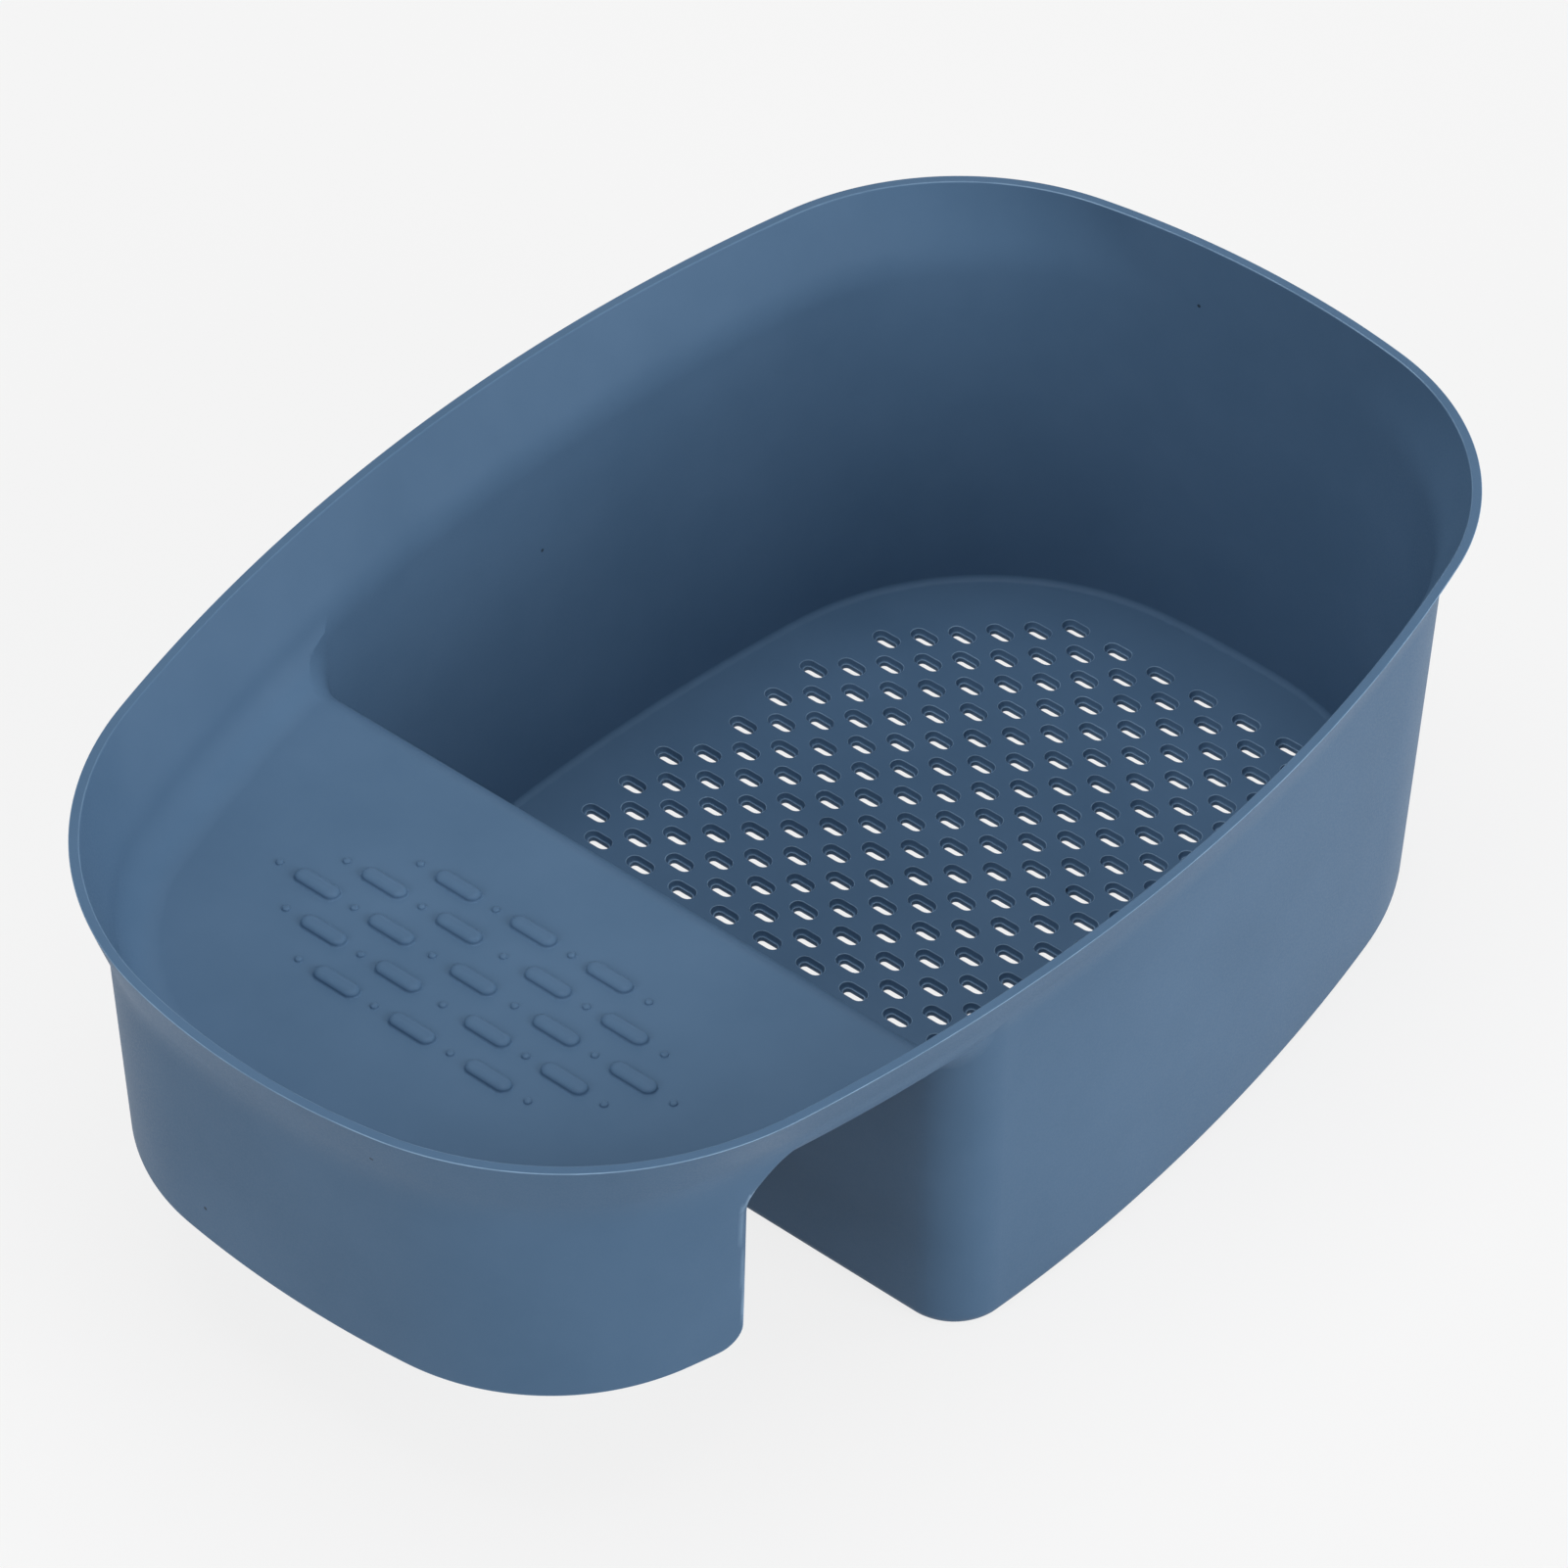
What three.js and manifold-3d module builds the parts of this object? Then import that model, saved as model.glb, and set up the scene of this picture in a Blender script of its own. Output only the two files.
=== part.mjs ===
// Sink drain basket: a deep strainer basin and a raised drip tray in one polypropylene moulding.
// The gap under the tray straddles the divider between two sink bowls.
// Millimetres, +Z up. X runs from the tray's end (-X) to the basin's far end (+X), Y across the
// basket, and z = 0 is the underside of the basin's floor. The moulding is divided into its walls,
// which meet face to face on planes square to the axes.
import * as THREE from "three";
import { mergeGeometries, mergeVertices } from "three/addons/utils/BufferGeometryUtils.js";
import Module from "manifold-3d";

// Heights and thicknesses.
const basketHeight = 90.6;
const trayDepth = 20.3;
const skirtDrop = 38.1;
const wallThickness = 1.8;
const floorThickness = 2;
const flareHeight = 18;
const draftSlope = Math.tan(THREE.MathUtils.degToRad(2.6));

// The rim's outline seen from above, with the origin midway between its ends, and how far the walls
// have drawn in from it at the floor.
// Each quarter is three arcs that run into each other: along the side, round the corner, across the end.
const widestX = 5;
const rimHalfWidth = 85;
const rimReach = 131.7;
const sideDraw = 10.7;
const basinEndDraw = 2.5;
const trayEndDraw = 8.6;
const rimBasinArcs = { side: 349, corner: 52.5, end: 181 };
const footBasinArcs = { side: 413, corner: 58, end: 223 };
const rimTrayArcs = { side: 358, corner: 63, end: 127 };
const footTrayArcs = { side: 307, corner: 39.5, end: 216 };

// Edges and corners.
const footRadius = 3;
const floorCreaseRadius = 1.2;
const coveRadius = 6.8;
const saddleCornerRadius = 10.8;
const deckEdgeRadius = 5.2;

// The shelf under the tray's end, from the rim's end to the skirt's free edge, and the saddle gap
// from there to the saddle wall's foot.
const shelfReach = 47.9;
const saddleGap = 45.3;
const skirtToeRadius = 4.5;
const skirtShoulderRun = 22;
const skirtShoulderRise = 12.3;

// Drain slots: rows across the floor, counted from the basin's end, each shifted by half a pitch.
const slotLength = 4.5;
const slotWidth = 1.9;
const slotPitch = 10;
const slotRowPitch = 5.015;
const slotFirstRowInset = 15.25;
const slotBorder = 9.25;

// Drip nubs on the deck, in five columns along X, with a dot between neighbours and past each end.
// Each column lists its nubs outwards from the middle line; the far side mirrors them.
const nubLength = 9.3;
const nubWidth = 3.1;
const nubHeight = 1.1;
const nubPitch = 16.7;
const nubPairY = 9.8;
const nubCentreStep = 18.15;
const nubColumnPitch = 7.41;
const nubMiddleInset = 5.8;
const nubThrees = [0, nubPitch];
const nubFours = [nubPairY, nubPairY + nubPitch];
const nubFives = [0, nubCentreStep, nubCentreStep + nubPitch];
const nubColumns = [nubThrees, nubFours, nubFives, nubFours, nubThrees];
const dotReach = 8.5;
const dotRadius = 0.7;
const dotHeight = 0.5;

// How finely round stretches are cut, and how far a cutting solid runs past what it cuts.
const endSteps = 3;
const cornerSteps = 7;
const sideSteps = 4;
const filletSteps = 3;
const coveSteps = 4;
const flareSteps = 3;
const slotEndSteps = 1;
const nubEndSteps = 2;
const dotSteps = 3;
const overrun = 5;

// Sizes that follow from those above.
const footHalfWidth = rimHalfWidth - sideDraw;
const footBasinReach = rimReach - basinEndDraw;
const footTrayReach = rimReach - trayEndDraw;
const deckTop = basketHeight - trayDepth;
const skirtBottom = deckTop - skirtDrop;
const skirtEdgeX = shelfReach - rimReach;
const saddleFootX = skirtEdgeX + saddleGap;
const nubMiddleX = skirtEdgeX + nubMiddleInset;
const deckUnderside = deckTop - wallThickness;
const coveTop = deckTop + coveRadius;
const flareStart = basketHeight - flareHeight;
const deckEdgeX = saddleFootX - draftSlope * deckUnderside;
const gapFilletRadius = deckEdgeRadius - wallThickness;
const saddlePanelHalfWidth = footHalfWidth - saddleCornerRadius - footRadius;

// Reaches past the whole basket on every side.
const farX = 2 * rimReach;
const farY = 2 * rimHalfWidth;
const farZ = 2 * basketHeight;

// The deck is divided between two columns of its nubs, just inside the skirt's free edge.
const deckSplitX = nubMiddleX - nubColumnPitch / 2;

const wasm = await Module();
wasm.setup();

// Turns a closed geometry into a solid that can be joined and cut.
function solidFrom(geometry) {
  const bare = geometry.clone();
  bare.deleteAttribute("normal");
  bare.deleteAttribute("uv");
  const merged = mergeVertices(bare);
  return new wasm.Manifold(
    new wasm.Mesh({
      numProp: 3,
      vertProperties: new Float32Array(merged.attributes.position.array),
      triVerts: new Uint32Array(merged.index.array),
    }),
  );
}

// The box between two corners, with each face exactly on its plane.
function block(low, high) {
  const geometry = new THREE.BoxGeometry();
  const position = geometry.attributes.position;
  for (let i = 0; i < position.count; i++) {
    position.setXYZ(
      i,
      position.getX(i) < 0 ? low[0] : high[0],
      position.getY(i) < 0 ? low[1] : high[1],
      position.getZ(i) < 0 ? low[2] : high[2],
    );
  }
  return solidFrom(geometry);
}

// An upright prism of a shape drawn in X and Y, from one height to another.
function prism(shape, bottom, top, curveSegments) {
  const geometry = new THREE.ExtrudeGeometry(shape, {
    depth: top - bottom,
    bevelEnabled: false,
    curveSegments,
  });
  return geometry.translate(0, 0, bottom);
}

// A round-ended slot outline, long in Y, centred on a point.
function obroundShape(x, y, length, width) {
  const radius = width / 2;
  const reach = length / 2 - radius;
  const shape = new THREE.Shape();
  shape.absarc(x, y + reach, radius, 0, Math.PI);
  shape.absarc(x, y - reach, radius, Math.PI, 2 * Math.PI);
  return shape;
}

// How far out the flare has come, from 0 at its start to 1 at the rim: a soft bend, then straight.
function flareShareAt(z) {
  const bendShare = 0.4;
  const s = Math.max(0, (z - flareStart) / flareHeight);
  const straight = s < bendShare ? (s * s) / (2 * bendShare) : s - bendShare / 2;
  return straight / (1 - bendShare / 2);
}

// How far the outline has come from its foot shape to its rim shape.
function outlineShareAt(z) {
  const spread = rimHalfWidth - footHalfWidth;
  const flareReach = spread - draftSlope * basketHeight;
  return (draftSlope * z + flareReach * flareShareAt(z)) / spread;
}

// The centres, radii and angles of one quarter outline's three arcs, about the widest station.
function quarterArcs(reach, halfWidth, radii, inset) {
  const side = { x: 0, y: halfWidth - radii.side, r: radii.side - inset };
  const end = { x: reach - radii.end, y: 0, r: radii.end - inset };
  const fromSide = radii.side - radii.corner;
  const fromEnd = radii.end - radii.corner;
  const span = Math.hypot(end.x - side.x, end.y - side.y);
  const along = (fromSide ** 2 - fromEnd ** 2 + span ** 2) / (2 * span);
  const across = Math.sqrt(Math.max(0, fromSide ** 2 - along ** 2));
  const ux = (end.x - side.x) / span;
  const uy = (end.y - side.y) / span;
  const corner = {
    x: side.x + along * ux + across * uy,
    y: side.y + along * uy - across * ux,
    r: radii.corner - inset,
  };
  const sideAngle = Math.atan2(corner.y - side.y, corner.x - side.x);
  const endAngle = Math.atan2(corner.y - end.y, corner.x - end.x);
  return { side, corner, end, sideAngle, endAngle };
}

function mix(foot, rim, share) {
  return foot + (rim - foot) * share;
}

function mixArcs(foot, rim, share) {
  return {
    side: mix(foot.side, rim.side, share),
    corner: mix(foot.corner, rim.corner, share),
    end: mix(foot.end, rim.end, share),
  };
}

// The basin quarter's arcs at a height: its end has no flare, only an even draft.
function basinQuarter(z, inset) {
  const share = outlineShareAt(z);
  const reach = mix(footBasinReach, rimReach, z / basketHeight);
  const halfWidth = mix(footHalfWidth, rimHalfWidth, share);
  return quarterArcs(reach - widestX, halfWidth, mixArcs(footBasinArcs, rimBasinArcs, share), inset);
}

function trayQuarter(z, inset) {
  const share = outlineShareAt(z);
  const reach = mix(footTrayReach, rimReach, share);
  const halfWidth = mix(footHalfWidth, rimHalfWidth, share);
  return quarterArcs(reach + widestX, halfWidth, mixArcs(footTrayArcs, rimTrayArcs, share), inset);
}

// The rounded corner between the side wall and the saddle wall, in the tray quarter's own frame.
function saddleCorner(z, inset, side) {
  const saddleX = saddleFootX - draftSlope * z;
  const x = widestX - saddleX - saddleCornerRadius;
  const reach = side.r + inset - saddleCornerRadius;
  const rise = Math.sqrt(reach ** 2 - x ** 2);
  return { x, y: side.y + rise, r: saddleCornerRadius - inset, angle: Math.atan2(rise, x) };
}

// Points along an arc, without its first point.
function arcPoints(arc, from, to, steps) {
  return Array.from({ length: steps }, (_, i) => {
    const angle = from + ((to - from) * (i + 1)) / steps;
    return [arc.x + arc.r * Math.cos(angle), arc.y + arc.r * Math.sin(angle)];
  });
}

// The upper half of the outline from the basin's end to where the saddle corner starts.
function basinHalf(z, inset, tray, saddle) {
  const q = basinQuarter(z, inset);
  const points = [
    [q.end.x + q.end.r, 0],
    ...arcPoints(q.end, 0, q.endAngle, endSteps),
    ...arcPoints(q.corner, q.endAngle, q.sideAngle, cornerSteps),
    ...arcPoints(q.side, q.sideAngle, Math.PI / 2, sideSteps),
  ].map(([x, y]) => [widestX + x, y]);
  const back = arcPoints(tray.side, Math.PI / 2, saddle.angle, sideSteps);
  return points.concat(back.map(([x, y]) => [widestX - x, y]));
}

// Closes an upper half by its mirror image. The first point lies on the middle line.
function closedOutline(upper, lastOnMiddle) {
  const lower = upper.slice(1, lastOnMiddle ? -1 : undefined).reverse();
  return upper.concat(lower.map(([x, y]) => [x, -y]));
}

// The whole basket's outline at a height, drawn in by an inset.
function wholeOutline(z, inset) {
  const tray = trayQuarter(z, inset);
  const saddle = saddleCorner(z, inset, tray.side);
  const far = [
    ...arcPoints(tray.side, saddle.angle, tray.sideAngle, sideSteps),
    ...arcPoints(tray.corner, tray.sideAngle, tray.endAngle, cornerSteps),
    ...arcPoints(tray.end, tray.endAngle, 0, endSteps),
  ].map(([x, y]) => [widestX - x, y]);
  return closedOutline(basinHalf(z, inset, tray, saddle).concat(far), true);
}

// The basin's outline at a height: the same sides, closed by the saddle wall.
function basinOutline(z, inset) {
  const tray = trayQuarter(z, inset);
  const saddle = saddleCorner(z, inset, tray.side);
  const turn = arcPoints(saddle, saddle.angle, 0, cornerSteps);
  const far = turn.map(([x, y]) => [widestX - x, y]);
  return closedOutline(basinHalf(z, inset, tray, saddle).concat(far), false);
}

// A solid through outlines at rising heights. Every outline bulges outwards all round.
function loft(outline, levels) {
  const rings = levels.map(({ z, inset }) => outline(z, inset).map(([x, y]) => [x, y, z]));
  const count = rings[0].length;
  const index = [];
  for (let level = 0; level + 1 < rings.length; level++) {
    for (let i = 0; i < count; i++) {
      const a = level * count + i;
      const b = level * count + ((i + 1) % count);
      index.push(a, b, b + count, a, b + count, a + count);
    }
  }
  const top = (rings.length - 1) * count;
  for (let i = 1; i + 1 < count; i++) {
    index.push(0, i + 1, i);
    index.push(top, top + i, top + i + 1);
  }
  const geometry = new THREE.BufferGeometry();
  geometry.setAttribute("position", new THREE.Float32BufferAttribute(rings.flat(2), 3));
  geometry.setIndex(index);
  return solidFrom(geometry);
}

// Levels of a quarter round that starts flat at a height and ends upright.
function roundLevels(bottom, radius, inset, steps) {
  return Array.from({ length: steps + 1 }, (_, i) => {
    const angle = (Math.PI / 2) * (i / steps);
    return { z: bottom + radius * (1 - Math.cos(angle)), inset: inset + radius * (1 - Math.sin(angle)) };
  });
}

// Levels of the flare between two heights, the first one left out.
function flareLevels(bottom, top, inset) {
  return Array.from({ length: flareSteps }, (_, i) => ({
    z: mix(bottom, top, (i + 1) / flareSteps),
    inset,
  }));
}

function basinOuter() {
  const foot = roundLevels(0, footRadius, 0, filletSteps);
  const upright = { z: flareStart, inset: 0 };
  return loft(basinOutline, [...foot, upright, ...flareLevels(flareStart, coveTop, 0)]);
}

function basinInner() {
  const foot = roundLevels(floorThickness, floorCreaseRadius, wallThickness, filletSteps);
  const upright = { z: flareStart, inset: wallThickness };
  return loft(basinOutline, [...foot, upright, ...flareLevels(flareStart, coveTop, wallThickness)]);
}

function trayOuter() {
  const cove = roundLevels(deckUnderside, coveRadius + wallThickness, 0, coveSteps);
  return loft(wholeOutline, [...cove, ...flareLevels(coveTop, basketHeight, 0)]);
}

function trayInner() {
  const cove = roundLevels(deckTop, coveRadius, wallThickness, coveSteps);
  const above = { z: basketHeight + overrun, inset: wallThickness };
  return loft(wholeOutline, [...cove, ...flareLevels(coveTop, basketHeight, wallThickness), above]);
}

// Rounds the edge where the deck turns down into the basin: the sharp edge less its quarter round.
function deckEdgeCut() {
  const faceX = deckEdgeX - draftSlope * wallThickness + wallThickness;
  const shape = new THREE.Shape();
  shape.moveTo(faceX - deckEdgeRadius, deckTop);
  shape.absarc(faceX - deckEdgeRadius, deckTop - deckEdgeRadius, deckEdgeRadius, Math.PI / 2, 0, true);
  shape.lineTo(faceX + overrun, deckTop - deckEdgeRadius);
  shape.lineTo(faceX + overrun, deckTop + overrun);
  shape.lineTo(faceX - deckEdgeRadius, deckTop + overrun);
  const halfWidth = saddleCorner(deckTop, 0, trayQuarter(deckTop, 0).side).y;
  const geometry = prism(shape, -halfWidth, halfWidth, filletSteps);
  geometry.rotateX(Math.PI / 2);
  return solidFrom(geometry);
}

// The hollow edge under the deck, where its underside turns down into the saddle wall. It follows
// the wall round its corners and keeps the moulding as thick there as elsewhere.
function gapFillet() {
  const levels = Array.from({ length: filletSteps + 1 }, (_, i) => {
    const angle = (Math.PI / 2) * (i / filletSteps);
    return {
      z: deckUnderside - gapFilletRadius * (1 - Math.sin(angle)),
      inset: -gapFilletRadius * (1 - Math.cos(angle)),
    };
  });
  const inWall = { z: deckUnderside - 2 * gapFilletRadius, inset: wallThickness / 2 };
  const within = [{ z: floorThickness, inset: 0 }, { z: deckUnderside, inset: 0 }];
  const nearGap = block([-farX, -farY, floorThickness], [deckEdgeX + saddleCornerRadius, farY, farZ]);
  return loft(basinOutline, [inWall, ...levels]).intersect(loft(wholeOutline, within)).intersect(nearGap);
}

// The skirt's side view: free edge with a round toe, and a shoulder that runs out under the tray.
function skirtZone() {
  const endX = -rimReach - overrun;
  const shape = new THREE.Shape();
  shape.moveTo(endX, skirtBottom);
  shape.lineTo(skirtEdgeX - skirtToeRadius, skirtBottom);
  shape.absarc(skirtEdgeX - skirtToeRadius, skirtBottom + skirtToeRadius, skirtToeRadius, -Math.PI / 2, 0);
  shape.lineTo(skirtEdgeX, coveTop - skirtShoulderRise);
  shape.absellipse(
    skirtEdgeX + skirtShoulderRun,
    coveTop - skirtShoulderRise,
    skirtShoulderRun,
    skirtShoulderRise,
    Math.PI,
    Math.PI / 2,
    true,
  );
  shape.lineTo(endX, coveTop);
  const geometry = prism(shape, -rimHalfWidth, rimHalfWidth, filletSteps);
  geometry.rotateX(Math.PI / 2);
  return solidFrom(geometry);
}

function skirtRing() {
  const ringLevels = (inset, below) => [
    { z: skirtBottom - below, inset },
    { z: flareStart, inset },
    ...flareLevels(flareStart, coveTop, inset),
  ];
  const outer = loft(wholeOutline, ringLevels(0, 0));
  const inner = loft(wholeOutline, ringLevels(wallThickness, overrun));
  return outer.subtract(inner).intersect(skirtZone());
}

// Whether a point lies inside a closed outline.
function insideOutline([x, y], outline) {
  let inside = false;
  outline.forEach(([ax, ay], i) => {
    const [bx, by] = outline[(i + 1) % outline.length];
    if (ay > y !== by > y && x < ax + ((bx - ax) * (y - ay)) / (by - ay)) inside = !inside;
  });
  return inside;
}

// Slot centres: every place of the staggered pattern that keeps its border to the floor's crease.
function slotCentres() {
  const limit = basinOutline(floorThickness, wallThickness + floorCreaseRadius + slotBorder);
  const firstRowX = footBasinReach - slotFirstRowInset;
  const rows = Math.ceil((firstRowX - saddleFootX) / slotRowPitch);
  const places = Math.ceil(rimHalfWidth / slotPitch);
  const centres = [];
  for (let row = 0; row < rows; row++) {
    const shift = row % 2 === 0 ? slotPitch / 2 : 0;
    for (let place = -places; place <= places; place++) {
      const centre = [firstRowX - row * slotRowPitch, place * slotPitch + shift];
      if (insideOutline(centre, limit)) centres.push(centre);
    }
  }
  return centres;
}

function slotCuts() {
  const cuts = slotCentres().map(([x, y]) =>
    prism(obroundShape(x, y, slotLength, slotWidth), -overrun, floorThickness + overrun, slotEndSteps),
  );
  return solidFrom(mergeGeometries(cuts));
}

// Where a column's dots stand: midway between neighbouring nubs, and past each end.
function dotPlaces(nubs) {
  const between = nubs.slice(1).map((y, i) => (y + nubs[i]) / 2);
  return [nubs[0] - dotReach, ...between, nubs[nubs.length - 1] + dotReach];
}

// Nubs and dots of the columns whose middle lies in a range of X, standing on the deck.
function drips(lowX, highX) {
  const middleColumn = (nubColumns.length - 1) / 2;
  const sunk = deckTop - wallThickness / 2;
  const pieces = [];
  nubColumns.forEach((halfColumn, column) => {
    const x = nubMiddleX + (column - middleColumn) * nubColumnPitch;
    if (x < lowX || x > highX) return;
    const mirrored = halfColumn.filter((y) => y > 0).map((y) => -y);
    const nubs = [...mirrored.reverse(), ...halfColumn];
    nubs.forEach((y) => {
      const nub = obroundShape(x, y, nubLength, nubWidth);
      pieces.push(prism(nub, sunk, deckTop + nubHeight, nubEndSteps));
    });
    dotPlaces(nubs).forEach((y) => {
      const dot = new THREE.Shape();
      dot.absarc(x, y, dotRadius, 0, 2 * Math.PI);
      pieces.push(prism(dot, sunk, deckTop + dotHeight, dotSteps));
    });
  });
  return solidFrom(mergeGeometries(pieces));
}

const plastic = new THREE.MeshStandardMaterial({ color: 0x4f7195, roughness: 0.5, metalness: 0 });

function mesh(name, solid) {
  const { numProp, vertProperties, triVerts } = solid.getMesh();
  const geometry = new THREE.BufferGeometry();
  geometry.setAttribute("position", new THREE.BufferAttribute(vertProperties, numProp));
  geometry.setIndex(new THREE.BufferAttribute(triVerts, 1));
  const made = new THREE.Mesh(geometry, plastic);
  made.name = name;
  return made;
}

const hollow = basinInner().add(trayInner()).add(deckEdgeCut());
const basinShell = basinOuter().add(gapFillet()).subtract(hollow);
const trayShell = trayOuter().add(basinOuter()).subtract(hollow);
const skirt = skirtRing().subtract(trayInner());
const basinZone = block([deckEdgeX, -farY, floorThickness], [farX, farY, deckTop]).add(
  block([-farX, -farY, floorThickness], [deckEdgeX, farY, deckUnderside]),
);
const saddleZone = block(
  [-farX, -saddlePanelHalfWidth, floorThickness],
  [deckEdgeX + saddleCornerRadius, saddlePanelHalfWidth, deckTop],
);

// The slotted floor, up to its top face.
function strainerFloor() {
  const slab = basinShell.intersect(block([-farX, -farY, -overrun], [farX, farY, floorThickness]));
  return slab.subtract(slotCuts());
}

// The basin's walls up to the deck's height, without the flat saddle panel.
function basinWall() {
  return basinShell.intersect(basinZone).subtract(saddleZone);
}

// The flat panel that stands beside the sink's divider, with the deck's rounded edge on top.
function saddleWall() {
  return basinShell.intersect(basinZone).intersect(saddleZone);
}

// The deck over the saddle gap.
function bridgeDeck() {
  const zone = block([deckSplitX, -farY, deckUnderside], [deckEdgeX, farY, deckTop]);
  return trayShell.intersect(zone).add(drips(deckSplitX, deckEdgeX));
}

// The deck over the skirt.
function shelfDeck() {
  const zone = block([-farX, -farY, deckUnderside], [deckSplitX, farY, deckTop]);
  return trayShell.intersect(zone).add(drips(-farX, deckSplitX));
}

// The skirt that hangs down round the tray's end, open towards the gap.
function shelfSkirt() {
  return skirt.intersect(block([-farX, -farY, -overrun], [farX, farY, deckTop]));
}

// The flared band above the deck's height, round the tray and round the basin.
function trayRim() {
  return trayShell.add(skirt).intersect(block([-farX, -farY, deckTop], [deckEdgeX, farY, farZ]));
}

function basinRim() {
  return trayShell.intersect(block([deckEdgeX, -farY, deckTop], [farX, farY, farZ]));
}

const basket = new THREE.Group();
basket.add(
  mesh("strainer_floor", strainerFloor()),
  mesh("basin_wall", basinWall()),
  mesh("saddle_wall", saddleWall()),
  mesh("bridge_deck", bridgeDeck()),
  mesh("shelf_deck", shelfDeck()),
  mesh("shelf_skirt", shelfSkirt()),
  mesh("tray_rim", trayRim()),
  mesh("basin_rim", basinRim()),
);

export default basket;
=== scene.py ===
"""A sink drain basket: one seamless polypropylene moulding in place of the CAD model's eight walls.

The surfaces are lofted through outlines made of arcs, as in the CAD source, but finely, and they add
what the solids leave out: rounded edges on the rim and the skirt, the curl of the skirt's free edge,
countersunk slots and domed nubs. Lengths are in millimetres, apart from the lights and the camera,
which are in metres, as the meshes are. All of it stands in the CAD's frame.
"""

import math

import bmesh
import bpy
import numpy as np
from mathutils import Matrix, Vector
from mathutils.geometry import delaunay_2d_cdt


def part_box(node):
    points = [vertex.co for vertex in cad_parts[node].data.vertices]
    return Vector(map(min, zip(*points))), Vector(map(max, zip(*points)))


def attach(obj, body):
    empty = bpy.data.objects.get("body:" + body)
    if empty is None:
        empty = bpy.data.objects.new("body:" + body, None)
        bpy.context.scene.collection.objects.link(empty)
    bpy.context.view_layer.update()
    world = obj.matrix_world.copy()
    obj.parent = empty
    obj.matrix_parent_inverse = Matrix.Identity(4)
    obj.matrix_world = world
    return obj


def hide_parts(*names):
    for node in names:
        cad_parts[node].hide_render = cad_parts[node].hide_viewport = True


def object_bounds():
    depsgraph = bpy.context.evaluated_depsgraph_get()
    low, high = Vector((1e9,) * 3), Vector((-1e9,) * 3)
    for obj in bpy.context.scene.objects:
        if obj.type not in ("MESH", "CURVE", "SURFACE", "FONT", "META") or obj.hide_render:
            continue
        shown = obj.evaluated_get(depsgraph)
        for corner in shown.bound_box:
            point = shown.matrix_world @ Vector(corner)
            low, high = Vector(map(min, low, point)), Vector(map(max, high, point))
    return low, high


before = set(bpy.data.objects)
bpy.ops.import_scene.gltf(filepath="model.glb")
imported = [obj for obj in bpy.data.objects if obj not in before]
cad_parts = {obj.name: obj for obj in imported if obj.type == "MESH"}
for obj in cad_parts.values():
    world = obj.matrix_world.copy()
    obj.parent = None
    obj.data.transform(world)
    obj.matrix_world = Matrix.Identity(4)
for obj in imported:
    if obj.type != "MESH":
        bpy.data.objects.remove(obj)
cad_low, cad_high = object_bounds()

MM = 0.001


def node_box(name):
    """A CAD node's lowest and highest corner in millimetres."""
    low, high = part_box(name)
    return low / MM, high / MM


# Sizes that the CAD model gives.
RIM_REACH = cad_high.x / MM
RIM_HALF_WIDTH = cad_high.y / MM
BASKET_HEIGHT = cad_high.z / MM
FLOOR_THICKNESS = node_box("strainer_floor")[1].z
DECK_TOP = node_box("basin_rim")[0].z
DECK_UNDERSIDE = node_box("bridge_deck")[0].z
SKIRT_BOTTOM = node_box("shelf_skirt")[0].z

# Sizes that its source names.
WALL = 1.8
FLARE_HEIGHT = 18.0
FLARE_BEND_SHARE = 0.4
DRAFT_SLOPE = math.tan(math.radians(2.6))
WIDEST_X = 5.0
SIDE_DRAW = 10.7
BASIN_END_DRAW = 2.5
TRAY_END_DRAW = 8.6
RIM_BASIN_ARCS = {"side": 349.0, "corner": 52.5, "end": 181.0}
FOOT_BASIN_ARCS = {"side": 413.0, "corner": 58.0, "end": 223.0}
RIM_TRAY_ARCS = {"side": 358.0, "corner": 63.0, "end": 127.0}
FOOT_TRAY_ARCS = {"side": 307.0, "corner": 39.5, "end": 216.0}
FOOT_RADIUS = 3.0
FLOOR_CREASE_RADIUS = 1.2
COVE_RADIUS = 6.8
SADDLE_CORNER_RADIUS = 10.8
DECK_EDGE_RADIUS = 5.2
SHELF_REACH = 47.9
SADDLE_GAP = 45.3
SKIRT_TOE_RADIUS = 4.5
SKIRT_SHOULDER_RUN = 22.0
SKIRT_SHOULDER_RISE = 12.3
SLOT_LENGTH = 4.5
SLOT_WIDTH = 1.9
SLOT_PITCH = 10.0
SLOT_ROW_PITCH = 5.015
SLOT_FIRST_ROW_INSET = 15.25
SLOT_BORDER = 9.25
NUB_LENGTH = 9.3
NUB_WIDTH = 3.1
NUB_HEIGHT = 1.1
NUB_PITCH = 16.7
NUB_PAIR_Y = 9.8
NUB_CENTRE_STEP = 18.15
NUB_COLUMN_PITCH = 7.41
NUB_MIDDLE_INSET = 5.8
DOT_REACH = 8.5
DOT_RADIUS = 0.7
DOT_HEIGHT = 0.5

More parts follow.
